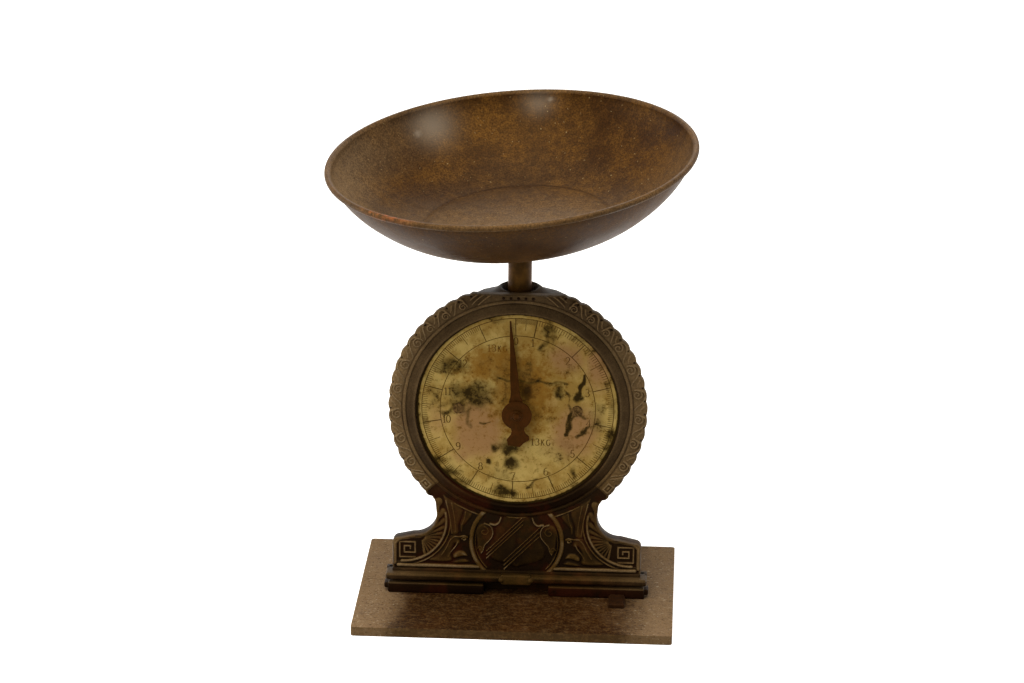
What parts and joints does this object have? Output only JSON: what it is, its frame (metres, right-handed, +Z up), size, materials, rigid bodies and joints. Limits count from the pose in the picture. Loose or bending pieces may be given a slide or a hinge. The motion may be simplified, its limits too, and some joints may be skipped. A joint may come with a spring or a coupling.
{
  "type": "household spring scale",
  "caption": "Household spring scale with an ornamental cast iron front, a round dial with a pointer and a shallow round pan on a sliding stem.",
  "frame": {"origin": "middle of the base plate's underside, on the surface that the scale stands on", "axes": "+Z up, the dial faces -Y, +X to the viewer's right"},
  "size_m": [0.2297, 0.2296, 0.306],
  "materials": {
    "rusty_plate": "rusted, speckled, matte",
    "cast_iron_front": "old dark lacquer over cast ornament, worn at the edges",
    "cover_sheet": "matte dark paint on sheet steel",
    "screw_steel": "dull, lightly rusted",
    "dial_enamel": "yellowed and stained, satin",
    "movement_brass": "dull, tarnished",
    "movement_steel": "dull grey",
    "rusty_steel": "dark red brown rust with bright worn edges",
    "spring_wire": "satin spring steel",
    "stem_steel": "olive brown patina",
    "pan_patina": "brown rust patina with ochre mottling, satin"
  },
  "bodies": {
    "casing": {"base_plate": "rusty_plate", "plate_clip": "rusty_plate", "front_casting": "cast_iron_front", "rear_housing": "cast_iron_front", "back_cover": "cover_sheet", "casing_screws": "screw_steel", "foot_screws": "screw_steel", "bezel_ring": "cast_iron_front", "dial_plate": "dial_enamel", "dial_posts": "movement_brass", "dial_screws": "rusty_steel", "movement_front_plate": "movement_steel", "movement_back_plate": "movement_steel", "movement_pillars": "movement_brass", "pillar_screws": "screw_steel", "movement_screws": "screw_steel", "roller_pin": "movement_steel", "guide_rod": "movement_steel", "stem_bush": "movement_brass", "spring_plugs_upper": "movement_brass", "spring_left": "spring_wire", "spring_right": "spring_wire"},
    "load_carrier": {"pan": "pan_patina", "pan_seat": "stem_steel", "stem": "stem_steel", "stem_nut": "screw_steel", "carriage": "movement_steel", "rack": "movement_brass", "rack_screws": "screw_steel", "spring_plugs_lower": "movement_brass", "spring_nuts": "screw_steel"},
    "pointer_arbor": {"spindle": "movement_steel", "pinion": "movement_brass", "pointer": "rusty_steel", "pointer_cap": "rusty_steel"},
    "roller": {"rack_roller": "movement_brass"}
  },
  "joints": [
    {"name": "pan_slide", "type": "slide", "parent": "casing", "child": "load_carrier", "axis": [0, 0, -1], "range_m": [0, 0.025], "stiffness_N_per_m": 5100, "springref_m": -0.00146, "deforming": ["spring_left", "spring_right"]},
    {"name": "pointer_turn", "type": "hinge", "parent": "casing", "child": "pointer_arbor", "pos_m": [0, 0, 0.1305], "axis": [0, 1, 0], "range_deg": [0, 341.2]},
    {"name": "roller_turn", "type": "hinge", "parent": "casing", "child": "roller", "pos_m": [0.0171, 0, 0.1305], "axis": [0, 1, 0], "range_deg": [-318.5, 0]}
  ],
  "couplings": [
    {"joint": "pointer_turn", "follows": "pan_slide", "rad_per_m": 238.1},
    {"joint": "roller_turn", "follows": "pan_slide", "rad_per_m": -222.22}
  ]
}
